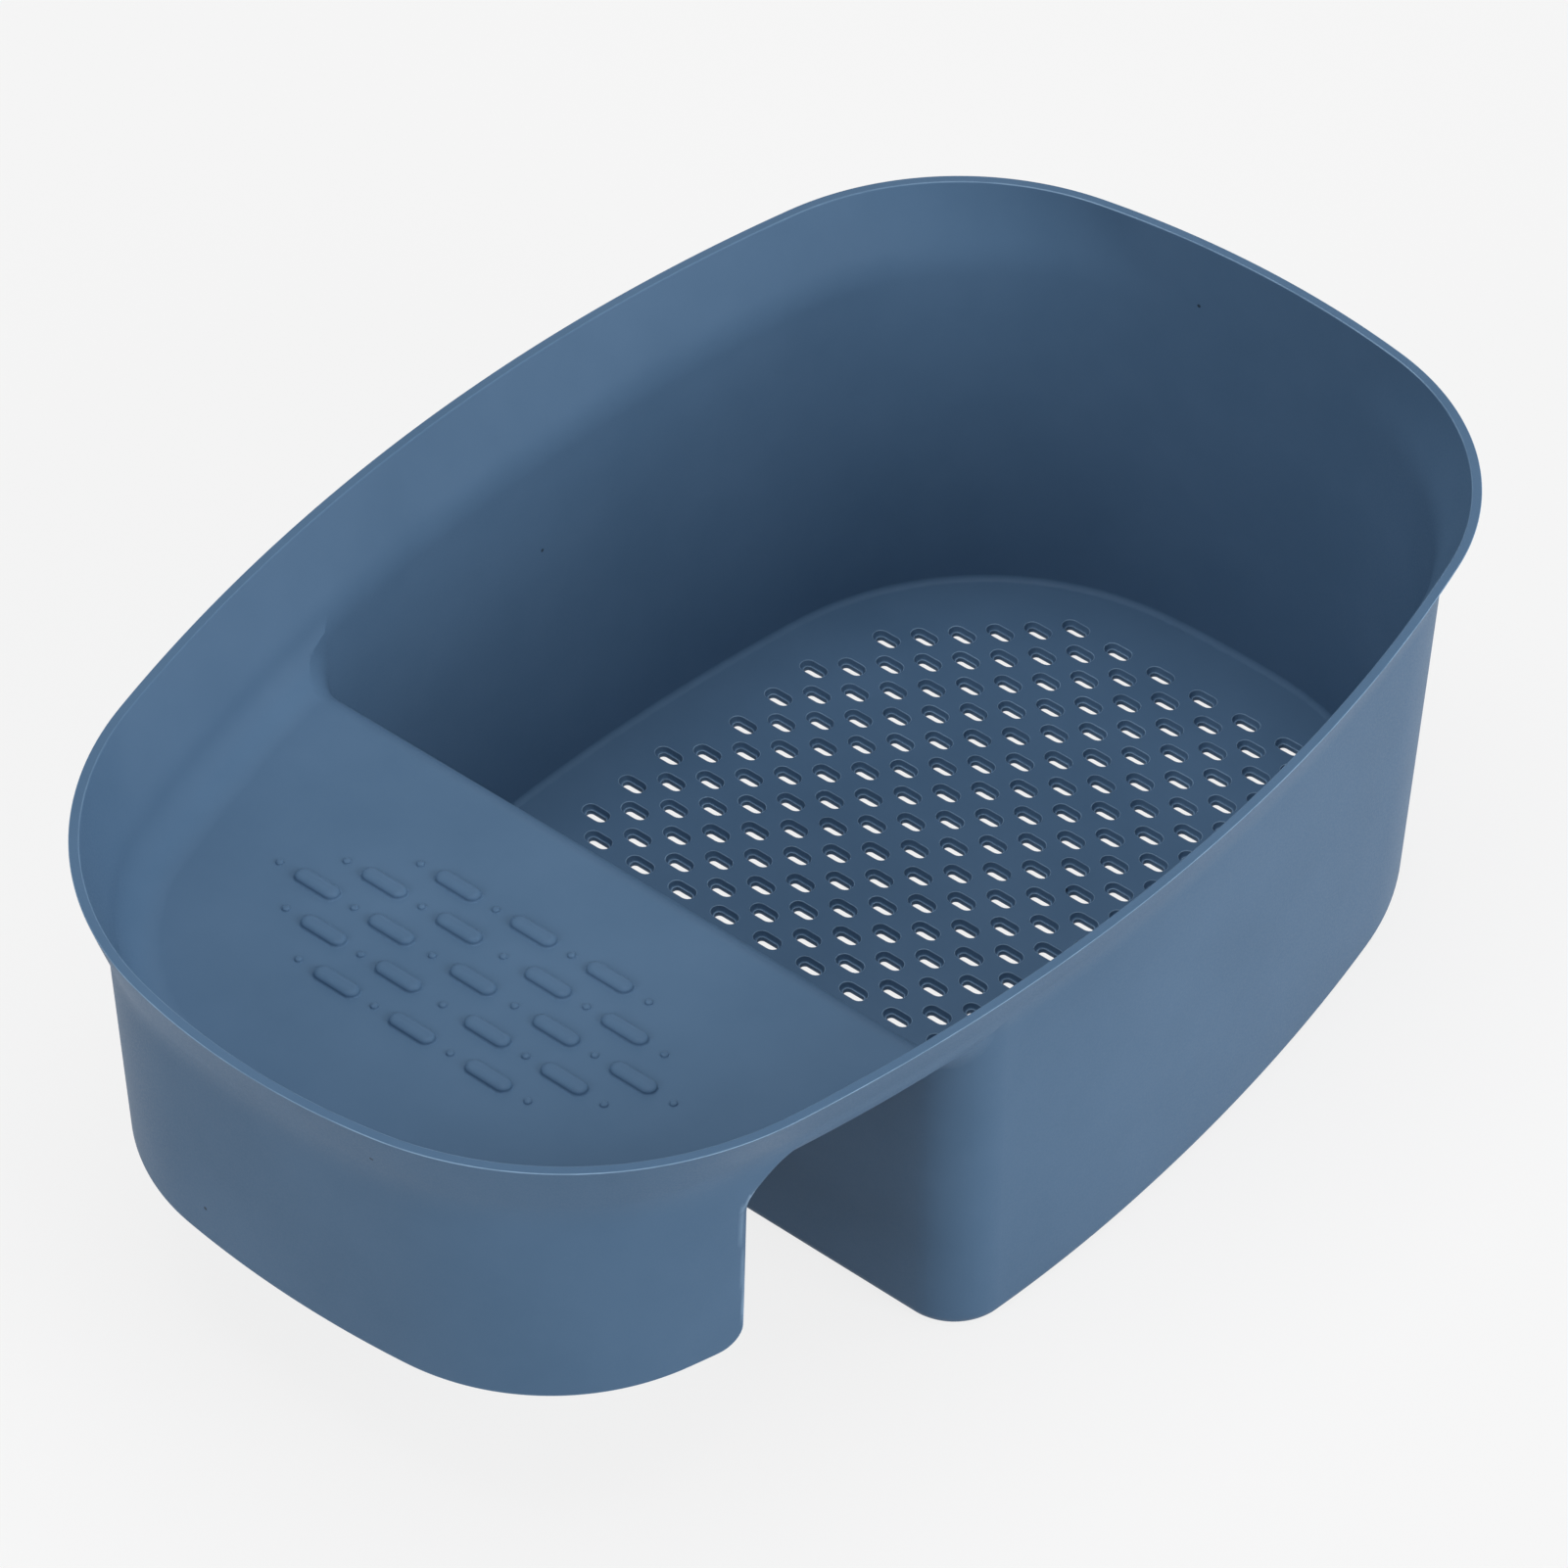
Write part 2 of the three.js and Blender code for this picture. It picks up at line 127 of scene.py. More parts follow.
# Sizes that only the look has.
RIM_EDGE_RADIUS = 0.2
RIM_EDGE_BORDER = 0.25
LARGEST_BALL = 40.0
ROLL_SPARE = 1.0
SKIRT_EDGE_RADIUS = 0.5
SKIRT_CURL = 1.3
SKIRT_CURL_REACH = 2.0
SKIRT_CURL_FADE = 5.0
SKIRT_CURL_FOOT = 0.2
SKIRT_CURL_POWER = 1.5
SHEET_DIVE = 0.06
SHEET_DIVE_RUN = 6.0
SLOT_MOUTH_DEPTH = 1.0
SLOT_LEDGE = 0.22
SLOT_MOUTH_SPREAD = 0.6
SLOT_LIP_RADIUS = 0.16
SLOT_THROAT_TAPER = 0.12
NUB_FOOT_RADIUS = 0.4
NUB_DOME_INSET_SHARE = 0.36
DOT_FOOT_SHARE = 0.3
DOT_DOME_INSET_SHARE = 0.7
DOME_HEIGHT_SHARE = 0.55
FOOT_SINK = 0.01
OVERRUN = 4.0

# How finely the meshes are cut. INSIDE_ONLY makes the triangulation keep what its border encloses.
END_STEPS = 24
CORNER_STEPS = 40
SIDE_STEPS = 26
FILLET_STEPS = 8
UPRIGHT_STEPS = 8
COVE_STEPS = 20
FLARE_STEPS = 20
EDGE_STEPS = 4
SLOT_END_STEPS = 10
NUB_END_STEPS = 12
SHEET_STEP = 2.2
BORDER_ROW_SHARES = (0.25, 0.5, 0.875)
SAME_POINT = 1e-5
INSIDE_ONLY = 1

# How closely a ball is fitted into an edge, and the turn at which the edge has run out.
HEIGHT_HALVINGS = 40
RADIUS_FITS = 12
SMALLEST_TURN = 0.01
LAST_TURN = math.radians(1.5)

# Which edges are made pale, partly as wear and partly as a painted highlight, and which stay sharp. A
# face's area is in square metres.
SMALLEST_FACE = 1e-9
WEAR_AND_HIGHLIGHT_TURN = math.radians(14)
WEAR_AND_HIGHLIGHT_TURN_SPAN = math.radians(8)
SHARP_TURN = math.radians(40)

# The plastic's look. Scales are in cells per metre, and the grain's depth is in metres.
DEEP_BLUE = (0.078, 0.150, 0.253)
CLEAR_BLUE = (0.092, 0.170, 0.281)
# Edges are paled towards the next blue: partly wear, partly a painted highlight along the rim, skirt
# and slot edges.
WEAR_AND_HIGHLIGHT_BLUE = (0.240, 0.370, 0.530)
SPECK_BLUE = (0.030, 0.052, 0.085)
FLOW_SCALE = 30.0
FLOW_DETAIL = 4.0
FLOW_TINT_SHARES = (0.3, 0.7)
GRAIN_SCALE = 2600.0
WEAR_AND_HIGHLIGHT_SCALE = 90.0
FINE_DETAIL = 2.0
NOISE_ROUGHNESS = 0.6
NOISE_MIDDLE_SHARES = (0.35, 0.65)
SPECK_SCALE = 55.0
SPECK_REACH = 0.022
SPECK_SHARE = 0.25
EDGE_WEAR_AND_HIGHLIGHT_SHARES = (0.5, 1.0)
ROUGHNESS_RANGE = (0.42, 0.54)
GRAIN_STRENGTH = 0.2
GRAIN_DEPTH = 0.00005
PLASTIC_IOR = 1.49
SHEEN_LEVEL = 0.12

# Where a colour mix node keeps its share, its two colours and its result.
MIX_SHARE_SOCKET = 0
MIX_UNDER_SOCKET = 6
MIX_OVER_SOCKET = 7
MIX_RESULT_SOCKET = 2

# The studio.
STAGE_REACH = 4000.0
STAGE_CLEARANCE = 0.1
STAGE_WHITE_SHARE = 0.82
STAGE_GREY = (0.62, 0.62, 0.62, 1)
WHITE = (1, 1, 1, 1)
WHITE_STRENGTH = 1.0
WORLD_STRENGTH = 0.19

# Each light's place and width in metres and its power in watts, and the point that all of them face.
LIGHTS = {
    "overhead": ((0.0, 0.0, 1.6), 1.2, 11.8),
    "tray_side": ((-1.7, 0.2, 0.8), 1.0, 10.7),
    "front": ((0.0, -1.7, 0.8), 1.0, 16.4),
    "far_corner": ((1.3, 0.9, 1.0), 1.0, 2.9),
    "low_front": ((1.2, -1.4, 0.3), 0.6, 6.9),
}
LIGHTS_AIM = (0.0, 0.0, 0.04)

# The camera, found by matching the rim, the floor and the slots to the photograph. Its lens and sensor
# are in millimetres.
CAMERA_PLACE = (-0.69857, -0.59328, 0.91709)
CAMERA_RIGHT = (0.64703, -0.76247, 0.0)
CAMERA_UP = (0.52117, 0.44227, 0.72992)
CAMERA_LENS = 169.0
CAMERA_SENSOR = 36.0

# Sizes worked out from those above.
FOOT_HALF_WIDTH = RIM_HALF_WIDTH - SIDE_DRAW
FOOT_BASIN_REACH = RIM_REACH - BASIN_END_DRAW
FOOT_TRAY_REACH = RIM_REACH - TRAY_END_DRAW
COVE_TOP = DECK_TOP + COVE_RADIUS
FLARE_START = BASKET_HEIGHT - FLARE_HEIGHT
SKIRT_EDGE_X = SHELF_REACH - RIM_REACH
SADDLE_FOOT_X = SKIRT_EDGE_X + SADDLE_GAP
NUB_MIDDLE_X = SKIRT_EDGE_X + NUB_MIDDLE_INSET
DECK_EDGE_WIDTH = 2 * DECK_EDGE_RADIUS
GAP_FILLET_WIDTH = 2 * (DECK_EDGE_RADIUS - WALL)
SHEET_TOP = COVE_TOP + SHEET_DIVE_RUN


def mix(a, b, share):
    return a + (b - a) * share


def flare_share(z):
    """How far out the flare has come, from 0 at its start to 1 at the rim.

    It starts in a soft bend and goes on straight.
    """
    s = max(0.0, (z - FLARE_START) / FLARE_HEIGHT)
    bend = FLARE_BEND_SHARE
    straight = s * s / (2 * bend) if s < bend else s - bend / 2
    return straight / (1 - bend / 2)


def outline_share(z):
    """How far the outline has come from its foot shape to its rim shape."""
    flare_reach = SIDE_DRAW - DRAFT_SLOPE * BASKET_HEIGHT
    return (DRAFT_SLOPE * z + flare_reach * flare_share(z)) / SIDE_DRAW


def quarter_arcs(reach, half_width, radii, inset):
    """One quarter outline's three arcs as (x, y, radius), about the widest station, and two angles."""
    side_y, end_x = half_width - radii["side"], reach - radii["end"]
    from_side = radii["side"] - radii["corner"]
    from_end = radii["end"] - radii["corner"]
    span = math.hypot(end_x, side_y)
    along = (from_side**2 - from_end**2 + span**2) / (2 * span)
    across = math.sqrt(max(0.0, from_side**2 - along**2))
    ux, uy = end_x / span, -side_y / span
    corner_x = along * ux + across * uy
    corner_y = side_y + along * uy - across * ux
    return {
        "side": (0.0, side_y, radii["side"] - inset),
        "corner": (corner_x, corner_y, radii["corner"] - inset),
        "end": (end_x, 0.0, radii["end"] - inset),
        "side_angle": math.atan2(corner_y - side_y, corner_x),
        "end_angle": math.atan2(corner_y, corner_x - end_x),
    }


def mix_arcs(foot, rim, share):
    """Radii between those at the foot and those at the rim."""
    return {name: mix(foot[name], rim[name], share) for name in foot}


def basin_quarter(z, inset):
    """A quarter of the outline on the basin's end, at a height."""
    share = outline_share(z)
    reach = mix(FOOT_BASIN_REACH, RIM_REACH, z / BASKET_HEIGHT)
    radii = mix_arcs(FOOT_BASIN_ARCS, RIM_BASIN_ARCS, share)
    return quarter_arcs(reach - WIDEST_X, mix(FOOT_HALF_WIDTH, RIM_HALF_WIDTH, share), radii, inset)


def tray_quarter(z, inset):
    """A quarter of the outline on the tray's end, at a height."""
    share = outline_share(z)
    reach = mix(FOOT_TRAY_REACH, RIM_REACH, share)
    radii = mix_arcs(FOOT_TRAY_ARCS, RIM_TRAY_ARCS, share)
    return quarter_arcs(reach + WIDEST_X, mix(FOOT_HALF_WIDTH, RIM_HALF_WIDTH, share), radii, inset)


def saddle_corner(z, inset):
    """The round corner between the side wall and the saddle wall, in the tray quarter's own frame."""
    _, side_y, side_radius = tray_quarter(z, inset)["side"]
    x = WIDEST_X - (SADDLE_FOOT_X - DRAFT_SLOPE * z) - SADDLE_CORNER_RADIUS
    rise = math.sqrt((side_radius + inset - SADDLE_CORNER_RADIUS) ** 2 - x**2)
    return (x, side_y + rise, SADDLE_CORNER_RADIUS - inset), math.atan2(rise, x)


def quarter_turns(steps):
    """Even angles from zero to a right angle."""
    return [math.pi / 2 * i / steps for i in range(steps + 1)]


def arc_points(arc, start, stop, steps):
    """Points along an arc, without its first point."""
    x, y, radius = arc
    angles = [mix(start, stop, (i + 1) / steps) for i in range(steps)]
    return [(x + radius * math.cos(a), y + radius * math.sin(a)) for a in angles]


def basin_half(z, inset, saddle_angle):
    """The upper half of the outline from the basin's end to where the saddle corner starts."""
    q = basin_quarter(z, inset)
    points = [(q["end"][0] + q["end"][2], 0.0)]
    points += arc_points(q["end"], 0, q["end_angle"], END_STEPS)
    points += arc_points(q["corner"], q["end_angle"], q["side_angle"], CORNER_STEPS)
    points += arc_points(q["side"], q["side_angle"], math.pi / 2, SIDE_STEPS)
    back = arc_points(tray_quarter(z, inset)["side"], math.pi / 2, saddle_angle, SIDE_STEPS)
    return [(WIDEST_X + x, y) for x, y in points] + [(WIDEST_X - x, y) for x, y in back]


def whole_outline(z, inset):
    """The whole basket's outline at a height, drawn in by an inset."""
    q = tray_quarter(z, inset)
    _, angle = saddle_corner(z, inset)
    far = arc_points(q["side"], angle, q["side_angle"], SIDE_STEPS)
    far += arc_points(q["corner"], q["side_angle"], q["end_angle"], CORNER_STEPS)
    far += arc_points(q["end"], q["end_angle"], 0, END_STEPS)
    upper = basin_half(z, inset, angle) + [(WIDEST_X - x, y) for x, y in far]
    return upper + [(x, -y) for x, y in reversed(upper[1:-1])]


def basin_outline(z, inset):
    """The basin's outline at a height: the same sides, closed by the saddle wall."""
    corner, angle = saddle_corner(z, inset)
    turn = [(WIDEST_X - x, y) for x, y in arc_points(corner, angle, 0, CORNER_STEPS)]
    upper = basin_half(z, inset, angle) + turn
    return upper + [(x, -y) for x, y in reversed(upper[1:])]


def round_levels(bottom, radius, inset, steps):
    """Levels of a quarter round that starts flat at a height and ends upright."""
    turns = quarter_turns(steps)
    return [(bottom + radius * (1 - math.cos(a)), inset + radius * (1 - math.sin(a))) for a in turns]


def edge_levels(top, radius, inset, side):
    """Levels of a small round at the top of a wall.

    A side of 1 draws the outline in towards the top, and a side of -1 lets it out.
    """
    turns = quarter_turns(EDGE_STEPS)
    return [
        (top - radius * (1 - math.sin(a)), inset + side * radius * (1 - math.cos(a))) for a in turns
    ]


def rising_levels(bottom, top, inset, steps):
    """Evenly spaced levels between two heights, the first one left out."""
    return [(mix(bottom, top, (i + 1) / steps), inset) for i in range(steps)]


def mesh_object(name, vertices, faces):
    """A mesh object from millimetres, its faces turned outwards."""
    mesh = bpy.data.meshes.new(name)
    mesh.from_pydata([tuple(c * MM for c in v) for v in vertices], [], faces)
    working = bmesh.new()
    working.from_mesh(mesh)
    bmesh.ops.recalc_face_normals(working, faces=working.faces)
    if working.calc_volume(signed=True) < 0:
        bmesh.ops.reverse_faces(working, faces=working.faces)
    working.to_mesh(mesh)
    working.free()
    made = bpy.data.objects.new(name, mesh)
    bpy.context.scene.collection.objects.link(made)
    return made


def ring_faces(count, rings, first=0):
    """Side faces through rings of points, and a fan across each end."""
    faces = []
    for level in range(rings - 1):
        for i in range(count):
            a = first + level * count + i
            b = first + level * count + (i + 1) % count
            faces.append((a, b, b + count, a + count))
    top = first + (rings - 1) * count
    faces.append(tuple(first + i for i in reversed(range(count))))
    faces.append(tuple(top + i for i in range(count)))
    return faces


def ring_solid(name, rings):
    """A closed solid through rings of as many points each."""
    vertices = [point for ring in rings for point in ring]
    return mesh_object(name, vertices, ring_faces(len(rings[0]), len(rings)))


def loft(name, outline, levels):
    """A closed solid through outlines at rising heights."""
    rings = [[(x, y, z) for x, y in outline(z, inset)] for z, inset in levels]
    return ring_solid(name, rings)


def obround(x, y, length, width, inset, steps):
    """A round-ended outline, long in Y."""
    radius = width / 2 - inset
    reach = length / 2 - width / 2
    turns = [math.pi * i / steps for i in range(steps + 1)]
    upper = [(x + radius * math.cos(a), y + reach + radius * math.sin(a)) for a in turns]
    lower = [(x - radius * math.cos(a), y - reach - radius * math.sin(a)) for a in turns]
    return upper + lower


def obround_lofts(name, places, length, width, levels, steps):
    """Equal round-ended solids at many places, as one mesh."""
    vertices, faces = [], []
    for x, y in places:
        rings = []
        for z, inset in levels:
            outline = obround(x, y, length, width, inset, steps)
            rings.append([(px, py, z) for px, py in outline])
        faces += ring_faces(len(rings[0]), len(rings), len(vertices))
        vertices += [point for ring in rings for point in ring]
    return mesh_object(name, vertices, faces)


def combine(base, operation, other):
    """Joins or cuts the base by another closed mesh, which goes."""
    modifier = base.modifiers.new("combine", "BOOLEAN")
    modifier.operation = operation
    modifier.solver = "MANIFOLD"
    modifier.object = other
    depsgraph = bpy.context.evaluated_depsgraph_get()
    made = bpy.data.meshes.new_from_object(base.evaluated_get(depsgraph))
    base.modifiers.clear()
    old = base.data
    base.data = made
    bpy.data.meshes.remove(old)
    bpy.data.objects.remove(other)
    return base


def basin_levels(bottom, radius, inset):
    """Levels of the basin's surface, from its rounded foot to the top of the tray's cove."""
    levels = round_levels(bottom, radius, inset, FILLET_STEPS)
    levels += rising_levels(bottom + radius, FLARE_START, inset, UPRIGHT_STEPS)
    return levels + rising_levels(FLARE_START, COVE_TOP, inset, FILLET_STEPS)


def basin_outer():
    return loft("basin_outer", basin_outline, basin_levels(0, FOOT_RADIUS, 0))


def basin_inner():
    levels = basin_levels(FLOOR_THICKNESS, FLOOR_CREASE_RADIUS, WALL)
    return loft("basin_inner", basin_outline, levels)


def tray_levels(bottom, radius, inset, side):
    """Levels of the tray's surface, from its cove to the small round at the rim."""
    levels = round_levels(bottom, radius, inset, COVE_STEPS)
    levels += rising_levels(COVE_TOP, BASKET_HEIGHT - RIM_EDGE_RADIUS, inset, FLARE_STEPS)
    return levels + edge_levels(BASKET_HEIGHT, RIM_EDGE_RADIUS, inset, side)[1:]


def tray_outer():
    levels = tray_levels(DECK_UNDERSIDE, COVE_RADIUS + WALL, 0, 1)
    border = RIM_EDGE_RADIUS + RIM_EDGE_BORDER
    levels += [(BASKET_HEIGHT, border), (BASKET_HEIGHT, WALL - border)]
    return loft("tray_outer", whole_outline, levels)


def tray_inner():
    levels = tray_levels(DECK_TOP, COVE_RADIUS, WALL, -1)
    levels.append((BASKET_HEIGHT + OVERRUN, WALL - RIM_EDGE_RADIUS))
    return loft("tray_inner", whole_outline, levels)


def inset_at(x, y, z):
    """How far a point near the saddle corner lies in from the outline, and the way in."""
    _, side_y, side_radius = tray_quarter(z, 0)["side"]
    inward = Vector((WIDEST_X - x, side_y - y, 0))
    return side_radius - inward.length, inward.normalized()


def ball_below(angle, slide, inset, base, cove, radius):
    """Where a ball comes to lie that touches the saddle wall and the deck's surface above it.

    The angle goes round the saddle corner from the middle panel; a slide moves the ball along the
    panel instead. Returns the ball's centre and its direction to the deck's surface.
    """
    low, high = base - radius, base + cove
    out = Vector((-math.cos(angle), math.sin(angle), 0))
    for _ in range(HEIGHT_HALVINGS):
        z = (low + high) / 2
        (corner_x, corner_y, corner_radius), _ = saddle_corner(z, inset)
        centre = Vector((WIDEST_X - corner_x, corner_y + slide, z)) + out * (corner_radius + radius)
        depth, inward = inset_at(centre.x, centre.y, z)
        over = min(max(cove + inset - depth, 0), cove + radius)
        drop = math.sqrt((cove + radius) ** 2 - over**2)
        if z < base + cove - drop:
            low = z
        else:
            high = z
    return centre, (inward * over + Vector((0, 0, drop))).normalized()


def rolled_section(angle, slide, inset, base, cove, width):
    """The arc that a ball leaves where it rolls along the edge, closed round the edge's far side.

    The ball grows as the edge opens out, so that the arc keeps its width. Returns None where the
    edge has run out.
    """
    lean = math.atan(DRAFT_SLOPE)
    level = math.cos(lean)
    to_wall = Vector((math.cos(angle) * level, -math.sin(angle) * level, math.sin(lean)))
    radius = width / 2
    for _ in range(RADIUS_FITS):
        centre, to_deck = ball_below(angle, slide, inset, base, cove, radius)
        turn = to_wall.angle(to_deck)
        wanted = min(width / (2 * math.tan(max(turn, SMALLEST_TURN) / 2)), LARGEST_BALL)
        radius = (radius + wanted) / 2
    if turn < LAST_TURN:
        return None
    points = []
    for i in range(FILLET_STEPS + 1):
        part = turn * i / FILLET_STEPS
        way = (to_wall * math.sin(turn - part) + to_deck * math.sin(part)) / math.sin(turn)
        points.append(centre + way * radius)
    middle = (to_wall + to_deck).normalized()
    points.append(points[-1] + to_deck * ROLL_SPARE)
    points.append(centre + middle * (radius / math.cos(turn / 2) + ROLL_SPARE))
    points.append(points[0] + to_wall * ROLL_SPARE)
    return [tuple(p) for p in points]


def rolled_edge(name, inset, base, cove, width):
    """The solid between the sharp edge over the saddle wall and a ball rolled along it."""
    (_, corner_y, _), last_angle = saddle_corner(base, inset)
    stations = [(0.0, -corner_y)]
    stations += [(0.0, -cove * (1 - i / COVE_STEPS)) for i in range(COVE_STEPS)]
    shares = [math.sin(turn) for turn in quarter_turns(CORNER_STEPS)[:-1]]
    stations += [(last_angle * share, 0.0) for share in shares]
    upper = [rolled_section(angle, slide, inset, base, cove, width) for angle, slide in stations]
    upper = [section for section in upper if section]
    lower = [[(x, -y, z) for x, y, z in section] for section in reversed(upper[1:])]
    return ring_solid(name, lower + upper)


def tray_run(z, depth):
    """The outline's points at a depth in the wall, from the tray end's middle round the +Y side."""
    outline = whole_outline(z, depth)
    return np.array(outline[: len(outline) // 2 + 1])[::-1]


def run_lengths(run):
    """How far along the run each of its points lies."""
    return np.concatenate([[0], np.cumsum(np.hypot(*np.diff(run, axis=0).T))])


def length_at(x, z):
    """How far along the outline from the tray's end a point of the side lies."""
    run = tray_run(z, 0)
    return float(np.interp(x, run[:, 0], run_lengths(run)))


def curve_points(centre_x, centre_z, run, rise, start, stop, steps):
    """Points of an ellipse's arc in side view, without its first point."""
    turns = [mix(start, stop, (i + 1) / steps) for i in range(steps)]
    return [(centre_x + run * math.cos(a), centre_z + rise * math.sin(a)) for a in turns]


def straight_points(start, stop):
    """Points of a straight line in side view, without its first point."""
    steps = max(1, round(math.dist(start, stop) / (SHEET_STEP / 2)))
    return [tuple(mix(a, b, (i + 1) / steps) for a, b in zip(start, stop)) for i in range(steps)]


def skirt_border():
    """The skirt's border in side view (x, z), from its toe up its free edge and over its shoulder."""
    toe, run, rise = SKIRT_TOE_RADIUS, SKIRT_SHOULDER_RUN, SKIRT_SHOULDER_RISE
    right = math.pi / 2
    points = [(SKIRT_EDGE_X - toe, SKIRT_BOTTOM)]
    points += curve_points(SKIRT_EDGE_X - toe, SKIRT_BOTTOM + toe, toe, toe, -right, 0, FILLET_STEPS)
    points += straight_points(points[-1], (SKIRT_EDGE_X, COVE_TOP - rise))
    shoulder_x, shoulder_z = SKIRT_EDGE_X + run, COVE_TOP - rise
    points += curve_points(shoulder_x, shoulder_z, run, rise, math.pi, right, 2 * COVE_STEPS)
    return points + straight_points(points[-1], (shoulder_x, SHEET_TOP))


def skirt_loop():
    """The whole border unrolled: lengths along the outline from the tray's end, and heights."""
    side = [(length_at(x, z), z) for x, z in skirt_border()]
    mirrored = [(-s, z) for s, z in reversed(side)]
    foot = straight_points(mirrored[-1], side[0])
    top = straight_points(side[-1], mirrored[0])
    return foot + side[1:] + top + mirrored[1:]


def drawn_in(loop, distance):
    """A closed loop, drawn in to its left side."""
    points = np.array(loop)
    ahead = np.roll(points, -1, axis=0) - points
    ahead /= np.linalg.norm(ahead, axis=1)[:, None]
    behind = np.roll(ahead, 1, axis=0)
    normals = np.stack([-(ahead + behind)[:, 1], (ahead + behind)[:, 0]], axis=1)
    normals /= (normals**2).sum(axis=1)[:, None] / 2
    return points + normals * distance


def sheet_shift(s, z):
    """How far the sheet sinks below the outline: into the wall above it, and at its free edge."""
    shift = SHEET_DIVE * max(0.0, (z - COVE_TOP) / SHEET_DIVE_RUN)
    toe_top = SKIRT_BOTTOM + SKIRT_TOE_RADIUS
    curl_top = COVE_TOP - SKIRT_SHOULDER_RISE / 2
    height = (z - toe_top) / (curl_top - toe_top)
    if not 0 < height < 1:
        return shift
    strength = height * min(1.0, (1 - height) * SKIRT_CURL_FADE)
    reach = SKIRT_CURL_REACH * (SKIRT_CURL_FOOT + strength)
    from_border = length_at(skirt_side_x(z), z) - abs(s)
    near = min(1.0, max(0.0, 1 - from_border / reach))
    return shift + SKIRT_CURL * strength * near**SKIRT_CURL_POWER


def skirt_side_x(z):
    """Where the skirt's free edge stands at a height."""
    over = max(0.0, (z - (COVE_TOP - SKIRT_SHOULDER_RISE)) / SKIRT_SHOULDER_RISE)
    return SKIRT_EDGE_X + SKIRT_SHOULDER_RUN * (1 - math.sqrt(max(0.0, 1 - over**2)))


def sheet_point(s, z, depth):
    """The point of the sheet at a length along the outline, a height and a depth in the wall."""
    surface = tray_run(z, 0)
    lengths = run_lengths(surface)
    station = np.interp(abs(s), lengths, range(len(lengths)))
    run = tray_run(z, depth + sheet_shift(s, z))
    at_x, at_y = (float(np.interp(station, range(len(run)), run[:, i])) for i in range(2))
    return at_x, math.copysign(at_y, s), z


def inside_outline(x, y, outline):
    inside = False
    for i, (ax, ay) in enumerate(outline):
        bx, by = outline[(i + 1) % len(outline)]
        if (ay > y) != (by > y) and x < ax + (bx - ax) * (y - ay) / (by - ay):
            inside = not inside
    return inside


def sheet_pattern(loop):
    """The sheet laid flat inside its rounded border: points, triangles and the border's places."""
    border = [tuple(p) for p in drawn_in(loop, SKIRT_EDGE_RADIUS)]
    rows_in = [SKIRT_EDGE_RADIUS + SHEET_STEP * share for share in BORDER_ROW_SHARES]
    border_rows = [tuple(p) for distance in rows_in for p in drawn_in(loop, distance)]
    reach = max(s for s, _ in loop)
    columns = np.arange(-reach, reach, SHEET_STEP)
    rows = np.arange(SKIRT_BOTTOM, SHEET_TOP, SHEET_STEP)
    limit = [tuple(p) for p in drawn_in(loop, SKIRT_EDGE_RADIUS + SHEET_STEP)]
    grid = [(s, z) for s in columns for z in rows if inside_outline(s, z, limit)]
    points = [Vector(p) for p in border + border_rows + grid]
    ring = list(range(len(border)))
    cut = delaunay_2d_cdt(points, [], [ring], INSIDE_ONLY, SAME_POINT)
    placed, _, triangles, origins, _, _ = cut
    place_of = {origin: i for i, group in enumerate(origins) for origin in group}
    return placed, triangles, [place_of[i] for i in ring]


def skirt():
    """The skirt as a thick sheet with a rounded border, whose top sinks into the wall above it."""
    loop = skirt_loop()
    placed, triangles, border = sheet_pattern(loop)
    vertices = [sheet_point(p.x, p.y, depth) for depth in (0, WALL) for p in placed]
    faces = [tuple(t) for t in triangles]
    faces += [tuple(len(placed) + i for i in reversed(t)) for t in triangles]
    radius = SKIRT_EDGE_RADIUS
    turns = quarter_turns(EDGE_STEPS)
    outer = [(radius * (1 - math.sin(a)), radius * (1 - math.cos(a))) for a in turns]
    inner = [(inset, WALL - depth) for inset, depth in reversed(outer)]
    rings = [border]
    for inset, depth in (outer + inner)[1:-1]:
        rings.append(list(range(len(vertices), len(vertices) + len(border))))
        vertices += [sheet_point(s, z, depth) for s, z in drawn_in(loop, inset)]
    rings.append([len(placed) + i for i in border])
    for near, far in zip(rings, rings[1:]):
        faces += [(near[i], near[i - 1], far[i - 1], far[i]) for i in range(len(border))]
    return mesh_object("skirt", vertices, faces)


def slot_centres():
    """Every place of the staggered pattern that keeps its border to the floor's crease."""
    limit = basin_outline(FLOOR_THICKNESS, WALL + FLOOR_CREASE_RADIUS + SLOT_BORDER)
    first_x = FOOT_BASIN_REACH - SLOT_FIRST_ROW_INSET
    rows = math.ceil((first_x - SADDLE_FOOT_X) / SLOT_ROW_PITCH)
    places = math.ceil(RIM_HALF_WIDTH / SLOT_PITCH)
    centres = []
    for row in range(rows):
        x = first_x - row * SLOT_ROW_PITCH
        shift = SLOT_PITCH / 2 if row % 2 == 0 else 0
        for place in range(-places, places + 1):
            y = place * SLOT_PITCH + shift
            if inside_outline(x, y, limit):
                centres.append((x, y))
    return centres


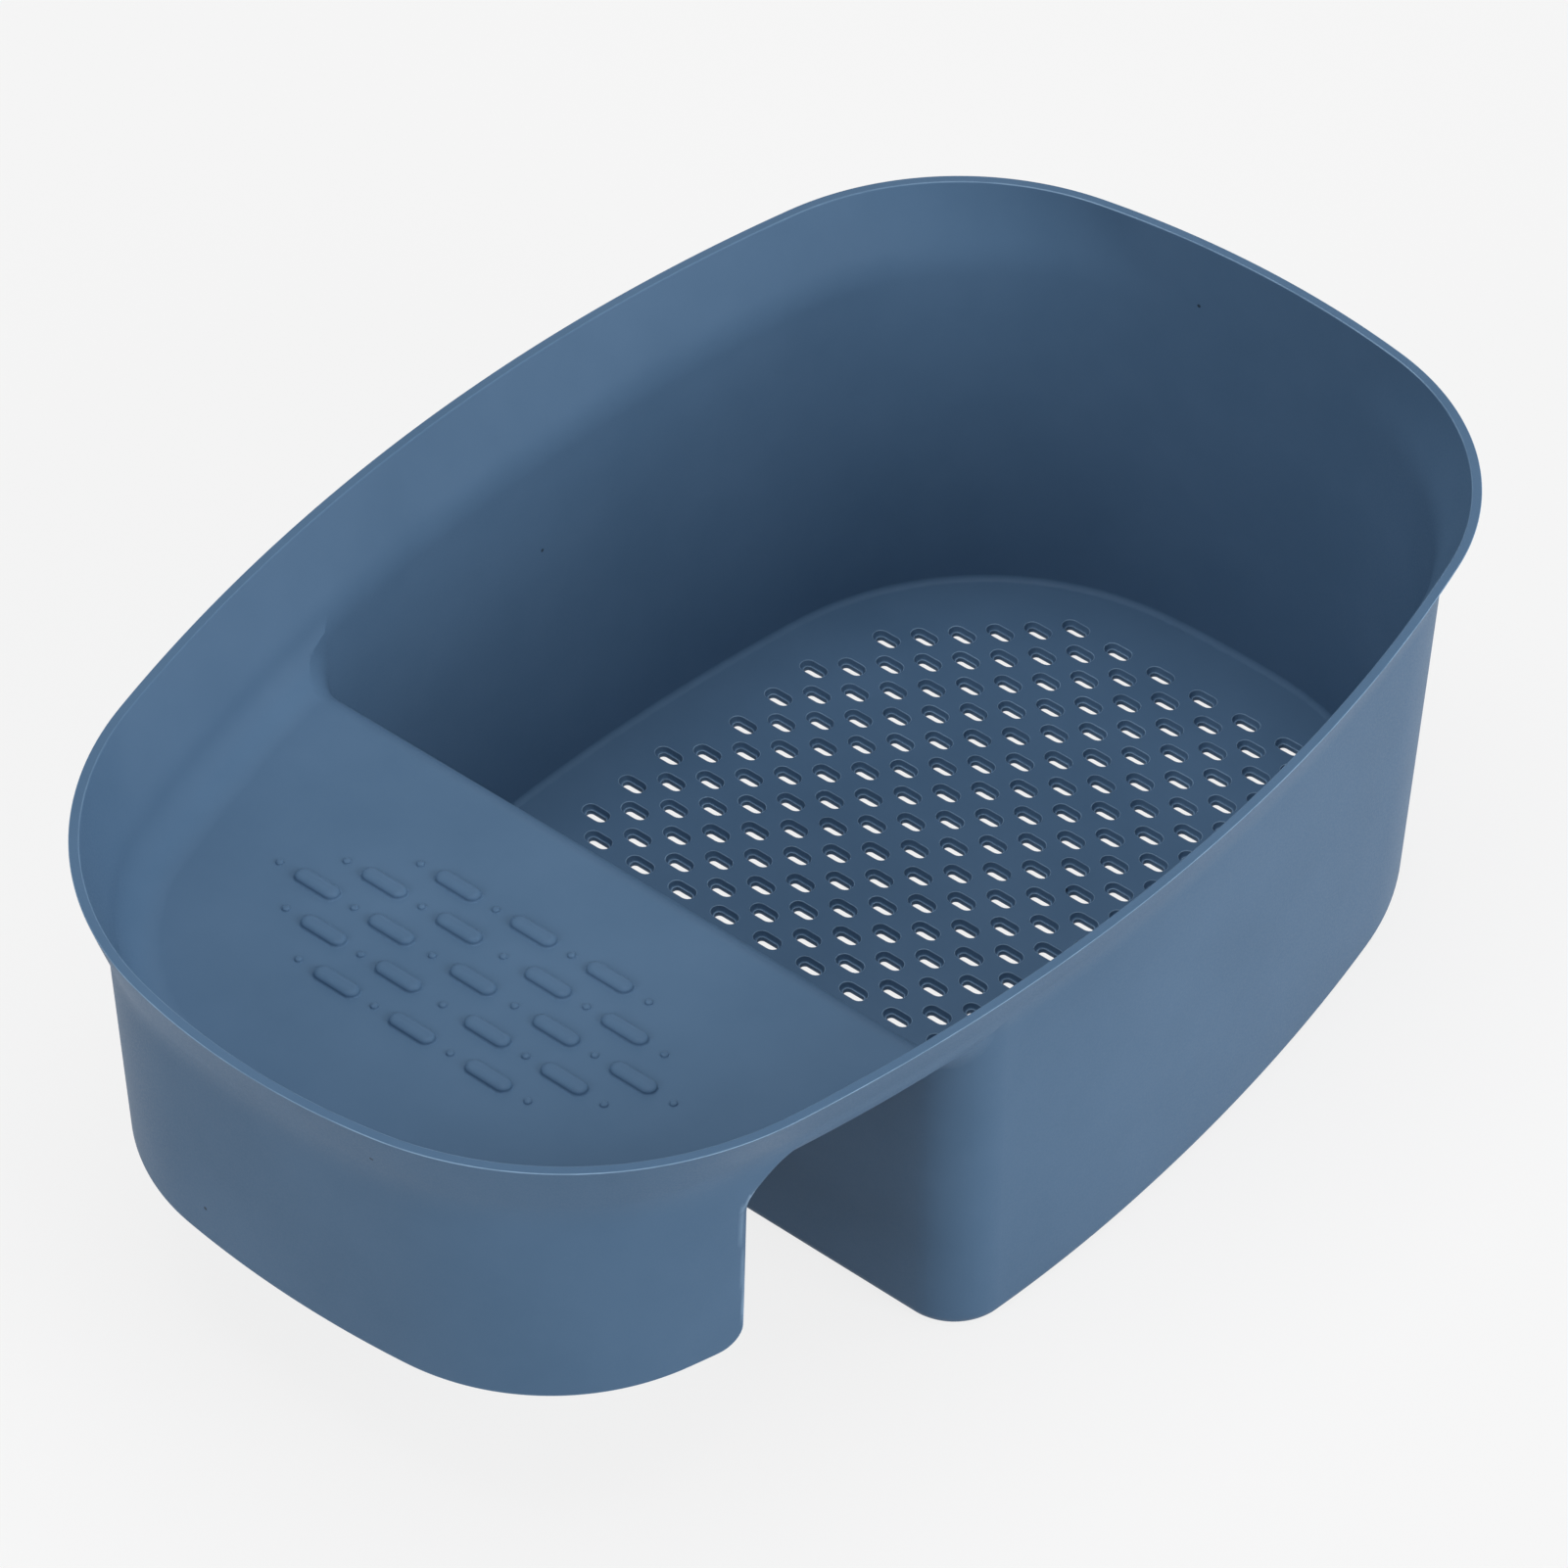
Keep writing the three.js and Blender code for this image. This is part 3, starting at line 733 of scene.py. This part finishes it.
def slot_cutters():
    """Through holes: a tapered throat, a ledge, and a countersunk mouth with a rounded lip."""
    ledge = FLOOR_THICKNESS - SLOT_MOUTH_DEPTH
    lip = SLOT_LIP_RADIUS
    throat = SLOT_THROAT_TAPER
    mouth = -SLOT_MOUTH_SPREAD
    turns = quarter_turns(EDGE_STEPS)
    levels = [(-OVERRUN, throat - lip)]
    levels += [(lip * (1 - math.cos(a)), throat - lip * (1 - math.sin(a))) for a in turns]
    levels += [(ledge - lip * (1 - math.sin(a)), throat / 2 - lip * (1 - math.cos(a))) for a in turns]
    levels += [(ledge, -SLOT_LEDGE), (ledge + lip, -SLOT_LEDGE - lip)]
    levels += edge_levels(FLOOR_THICKNESS, lip, mouth, -1)
    levels.append((FLOOR_THICKNESS + OVERRUN, mouth - lip))
    return obround_lofts("slots", slot_centres(), SLOT_LENGTH, SLOT_WIDTH, levels, SLOT_END_STEPS)


def nub_columns():
    """Each column's nubs outwards from the middle line; the far side mirrors them."""
    threes = [0, NUB_PITCH]
    fours = [NUB_PAIR_Y, NUB_PAIR_Y + NUB_PITCH]
    fives = [0, NUB_CENTRE_STEP, NUB_CENTRE_STEP + NUB_PITCH]
    halves = [threes, fours, fives, fours, threes]
    for column, half in enumerate(halves):
        x = NUB_MIDDLE_X + (column - len(halves) // 2) * NUB_COLUMN_PITCH
        yield x, [-y for y in reversed(half) if y > 0] + half


def domed_levels(height, foot, dome_inset):
    """Levels of a nub or dot: a hollow fillet at its foot, a short side and a domed top."""
    turns = quarter_turns(EDGE_STEPS)
    bottom, top = DECK_TOP - FOOT_SINK, DECK_TOP + height
    dome = height * DOME_HEIGHT_SHARE
    levels = [(DECK_TOP - WALL / 2, -foot)]
    levels += [(bottom + foot * (1 - math.cos(a)), -foot * (1 - math.sin(a))) for a in turns]
    levels += [(top - dome * (1 - math.sin(a)), dome_inset * (1 - math.cos(a))) for a in turns]
    return levels


def nubs():
    """The drip nubs on the deck, long across it."""
    places = [(x, y) for x, ys in nub_columns() for y in ys]
    levels = domed_levels(NUB_HEIGHT, NUB_FOOT_RADIUS, NUB_WIDTH * NUB_DOME_INSET_SHARE)
    return obround_lofts("nubs", places, NUB_LENGTH, NUB_WIDTH, levels, NUB_END_STEPS)


def dots():
    """The small dots between each column's nubs and past its ends."""
    places = []
    for x, ys in nub_columns():
        between = [(a + b) / 2 for a, b in zip(ys, ys[1:])]
        places += [(x, y) for y in [ys[0] - DOT_REACH, *between, ys[-1] + DOT_REACH]]
    foot, dome_inset = DOT_RADIUS * DOT_FOOT_SHARE, DOT_RADIUS * DOT_DOME_INSET_SHARE
    levels = domed_levels(DOT_HEIGHT, foot, dome_inset)
    return obround_lofts("dots", places, 2 * DOT_RADIUS, 2 * DOT_RADIUS, levels, NUB_END_STEPS // 2)


def moulding():
    """The whole basket as one closed mesh."""
    basket = tray_outer()
    basket = combine(basket, "UNION", basin_outer())
    basket = combine(basket, "UNION", skirt())
    underside = rolled_edge("gap_fillet", 0, DECK_UNDERSIDE, COVE_RADIUS + WALL, GAP_FILLET_WIDTH)
    basket = combine(basket, "UNION", underside)
    basket = combine(basket, "DIFFERENCE", combine(tray_inner(), "UNION", basin_inner()))
    deck_edge = rolled_edge("deck_edge", WALL, DECK_TOP, COVE_RADIUS, DECK_EDGE_WIDTH)
    basket = combine(basket, "DIFFERENCE", deck_edge)
    basket = combine(basket, "DIFFERENCE", slot_cutters())
    basket = combine(basket, "UNION", nubs())
    basket = combine(basket, "UNION", dots())
    basket.name = "drain_basket_moulding"
    return basket


def mark_edges(basket):
    """Stores at each vertex how pale its edge is made, from 0 to 1: partly wear, partly a painted
    highlight.

    Only the outward edges of the rim, the skirt and the slots are made pale.
    """
    working = bmesh.new()
    working.from_mesh(basket.data)
    turns = [0.0] * len(working.verts)
    for edge in working.edges:
        if min(face.calc_area() for face in edge.link_faces) < SMALLEST_FACE:
            continue
        turn = edge.calc_face_angle_signed(0)
        for vertex in edge.verts:
            turns[vertex.index] = max(turns[vertex.index], turn)
    working.free()
    # Convex edges get a pale mark, partly wear and partly a painted highlight.
    wear_and_highlight = [min(max((turn - WEAR_AND_HIGHLIGHT_TURN) / WEAR_AND_HIGHLIGHT_TURN_SPAN, 0), 1) for turn in turns]
    low, high = DECK_UNDERSIDE * MM, (BASKET_HEIGHT - WALL) * MM
    for i, vertex in enumerate(basket.data.vertices):
        if low < vertex.co.z < high:
            wear_and_highlight[i] = 0
    basket.data.attributes.new("edge_wear_and_highlight", "FLOAT", "POINT").data.foreach_set("value", wear_and_highlight)


def smooth(basket):
    """Smooth shading that keeps sharp corners as they are."""
    basket.data.shade_smooth()
    basket.data.set_sharp_from_angle(angle=SHARP_TURN)
    modifier = basket.modifiers.new("weighted normals", "WEIGHTED_NORMAL")
    modifier.mode = "FACE_AREA_WITH_ANGLE"
    modifier.keep_sharp = True


def add(tree, kind, **values):
    """A node with its settings; names with a capital letter are sockets."""
    node = tree.nodes.new(kind)
    for name, value in values.items():
        if name[0].isupper():
            node.inputs[name.replace("_", " ")].default_value = value
        else:
            setattr(node, name, value)
    return node


def noise(tree, place, scale, detail):
    """A noise's value over the object."""
    texture = add(tree, "ShaderNodeTexNoise", Scale=scale, Detail=detail, Roughness=NOISE_ROUGHNESS)
    tree.links.new(place, texture.inputs["Vector"])
    return texture.outputs["Fac"]


def between(tree, source, low, high):
    """A value read off a noise's middle range, stretched between two levels."""
    first, last = NOISE_MIDDLE_SHARES
    span = add(tree, "ShaderNodeMapRange", From_Min=first, From_Max=last, To_Min=low, To_Max=high)
    tree.links.new(source, span.inputs["Value"])
    return span.outputs["Result"]


def tinted(tree, colour, tint, share):
    """A colour with another laid over it by a varying share."""
    blend = add(tree, "ShaderNodeMix", data_type="RGBA")
    tree.links.new(share, blend.inputs[MIX_SHARE_SOCKET])
    tree.links.new(colour, blend.inputs[MIX_UNDER_SOCKET])
    blend.inputs[MIX_OVER_SOCKET].default_value = (*tint, 1)
    return blend.outputs[MIX_RESULT_SOCKET]


def product(tree, first, second):
    times = add(tree, "ShaderNodeMath", operation="MULTIPLY")
    tree.links.new(first, times.inputs[0])
    tree.links.new(second, times.inputs[1])
    return times.outputs[0]


def specks(tree, place):
    """Small dark specks in a few of the cells of a coarse pattern."""
    cells = add(tree, "ShaderNodeTexVoronoi", Scale=SPECK_SCALE)
    tree.links.new(place, cells.inputs["Vector"])
    near = add(tree, "ShaderNodeMath", operation="LESS_THAN")
    near.inputs[1].default_value = SPECK_REACH
    tree.links.new(cells.outputs["Distance"], near.inputs[0])
    parts = add(tree, "ShaderNodeSeparateColor")
    tree.links.new(cells.outputs["Color"], parts.inputs["Color"])
    chosen = add(tree, "ShaderNodeMath", operation="LESS_THAN")
    chosen.inputs[1].default_value = SPECK_SHARE
    tree.links.new(parts.outputs["Red"], chosen.inputs[0])
    return product(tree, near.outputs[0], chosen.outputs[0])


def polypropylene():
    """Satin slate-blue polypropylene: faint flow marks, specks, fine grain, and pale edges that are
    partly wear and partly a painted highlight.
    """
    material = bpy.data.materials.new("blue_polypropylene")
    material.use_nodes = True
    tree = material.node_tree
    shader = tree.nodes["Principled BSDF"]
    place = add(tree, "ShaderNodeTexCoord").outputs["Object"]
    flow = noise(tree, place, FLOW_SCALE, FLOW_DETAIL)
    grain = noise(tree, place, GRAIN_SCALE, FINE_DETAIL)
    wear_and_highlight = noise(tree, place, WEAR_AND_HIGHLIGHT_SCALE, FINE_DETAIL)
    tint = add(tree, "ShaderNodeValToRGB")
    stops = zip(tint.color_ramp.elements, FLOW_TINT_SHARES, (DEEP_BLUE, CLEAR_BLUE))
    for stop, position, blue in stops:
        stop.position = position
        stop.color = (*blue, 1)
    tree.links.new(flow, tint.inputs["Fac"])
    edge = add(tree, "ShaderNodeAttribute", attribute_name="edge_wear_and_highlight")
    # Pale edges: partly wear, partly a painted highlight on the edges that catch light.
    worn_and_lit = product(tree, edge.outputs["Fac"], between(tree, wear_and_highlight, *EDGE_WEAR_AND_HIGHLIGHT_SHARES))
    colour = tinted(tree, tint.outputs["Color"], WEAR_AND_HIGHLIGHT_BLUE, worn_and_lit)
    colour = tinted(tree, colour, SPECK_BLUE, specks(tree, place))
    tree.links.new(colour, shader.inputs["Base Color"])
    tree.links.new(between(tree, grain, *ROUGHNESS_RANGE), shader.inputs["Roughness"])
    bump = add(tree, "ShaderNodeBump", Strength=GRAIN_STRENGTH, Distance=GRAIN_DEPTH)
    tree.links.new(grain, bump.inputs["Height"])
    tree.links.new(bump.outputs["Normal"], shader.inputs["Normal"])
    shader.inputs["IOR"].default_value = PLASTIC_IOR
    shader.inputs["Specular IOR Level"].default_value = SHEEN_LEVEL
    return material


def plain_stage_material(name, colour):
    """A pale matte surface that the camera and reflections see as mostly plain white."""
    material = bpy.data.materials.new(name)
    material.use_nodes = True
    tree = material.node_tree
    tree.nodes.clear()
    matte = add(tree, "ShaderNodeBsdfDiffuse", Color=colour)
    white = add(tree, "ShaderNodeEmission", Color=WHITE, Strength=WHITE_STRENGTH)
    rays = add(tree, "ShaderNodeLightPath")
    seen = add(tree, "ShaderNodeMath", operation="MAXIMUM")
    tree.links.new(rays.outputs["Is Camera Ray"], seen.inputs[0])
    tree.links.new(rays.outputs["Is Glossy Ray"], seen.inputs[1])
    part = add(tree, "ShaderNodeMath", operation="MULTIPLY")
    part.inputs[1].default_value = STAGE_WHITE_SHARE
    tree.links.new(seen.outputs[0], part.inputs[0])
    mixed = add(tree, "ShaderNodeMixShader")
    tree.links.new(part.outputs[0], mixed.inputs["Fac"])
    tree.links.new(matte.outputs[0], mixed.inputs[1])
    tree.links.new(white.outputs[0], mixed.inputs[2])
    out = add(tree, "ShaderNodeOutputMaterial")
    tree.links.new(mixed.outputs[0], out.inputs["Surface"])
    return material


def stage_floor():
    """A wide pale floor, a hair below the basket's foot."""
    sides = [(-1, -1), (1, -1), (1, 1), (-1, 1)]
    corners = [(x * STAGE_REACH, y * STAGE_REACH, -STAGE_CLEARANCE) for x, y in sides]
    floor = mesh_object("studio_floor", corners, [tuple(range(len(corners)))])
    floor.data.materials.append(plain_stage_material("studio_floor", STAGE_GREY))


def studio_world():
    """An even surround, which the camera sees as plain white."""
    world = bpy.data.worlds.new("studio")
    bpy.context.scene.world = world
    world.use_nodes = True
    tree = world.node_tree
    background = tree.nodes["Background"]
    rays = add(tree, "ShaderNodeLightPath")
    strength = add(tree, "ShaderNodeMapRange", To_Min=WORLD_STRENGTH, To_Max=WHITE_STRENGTH)
    tree.links.new(rays.outputs["Is Camera Ray"], strength.inputs["Value"])
    tree.links.new(strength.outputs["Result"], background.inputs["Strength"])
    background.inputs["Color"].default_value = WHITE


def soft_light(name, place, size, watts):
    """A square softbox that faces the basket."""
    data = bpy.data.lights.new(name, "AREA")
    data.energy = watts
    data.size = size
    lamp = bpy.data.objects.new(name, data)
    bpy.context.scene.collection.objects.link(lamp)
    lamp.location = place
    lamp.rotation_euler = (Vector(LIGHTS_AIM) - Vector(place)).to_track_quat("-Z", "Y").to_euler()


def photo_camera():
    """The camera at the photograph's place and turn."""
    data = bpy.data.cameras.new("camera")
    data.lens = CAMERA_LENS
    data.sensor_width = CAMERA_SENSOR
    camera = bpy.data.objects.new("camera", data)
    bpy.context.scene.collection.objects.link(camera)
    right, up = Vector(CAMERA_RIGHT).normalized(), Vector(CAMERA_UP).normalized()
    turn = Matrix((right, up, right.cross(up))).transposed()
    camera.matrix_world = Matrix.Translation(CAMERA_PLACE) @ turn.to_4x4()
    bpy.context.scene.camera = camera


basket = moulding()
mark_edges(basket)
smooth(basket)
basket.data.materials.clear()
basket.data.materials.append(polypropylene())
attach(basket, "root")
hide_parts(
    "strainer_floor",
    "basin_wall",
    "saddle_wall",
    "bridge_deck",
    "shelf_deck",
    "shelf_skirt",
    "tray_rim",
    "basin_rim",
)

stage_floor()
studio_world()
for name, (place, size, watts) in LIGHTS.items():
    soft_light(name, place, size, watts)
photo_camera()
bpy.context.scene.view_settings.view_transform = "Standard"
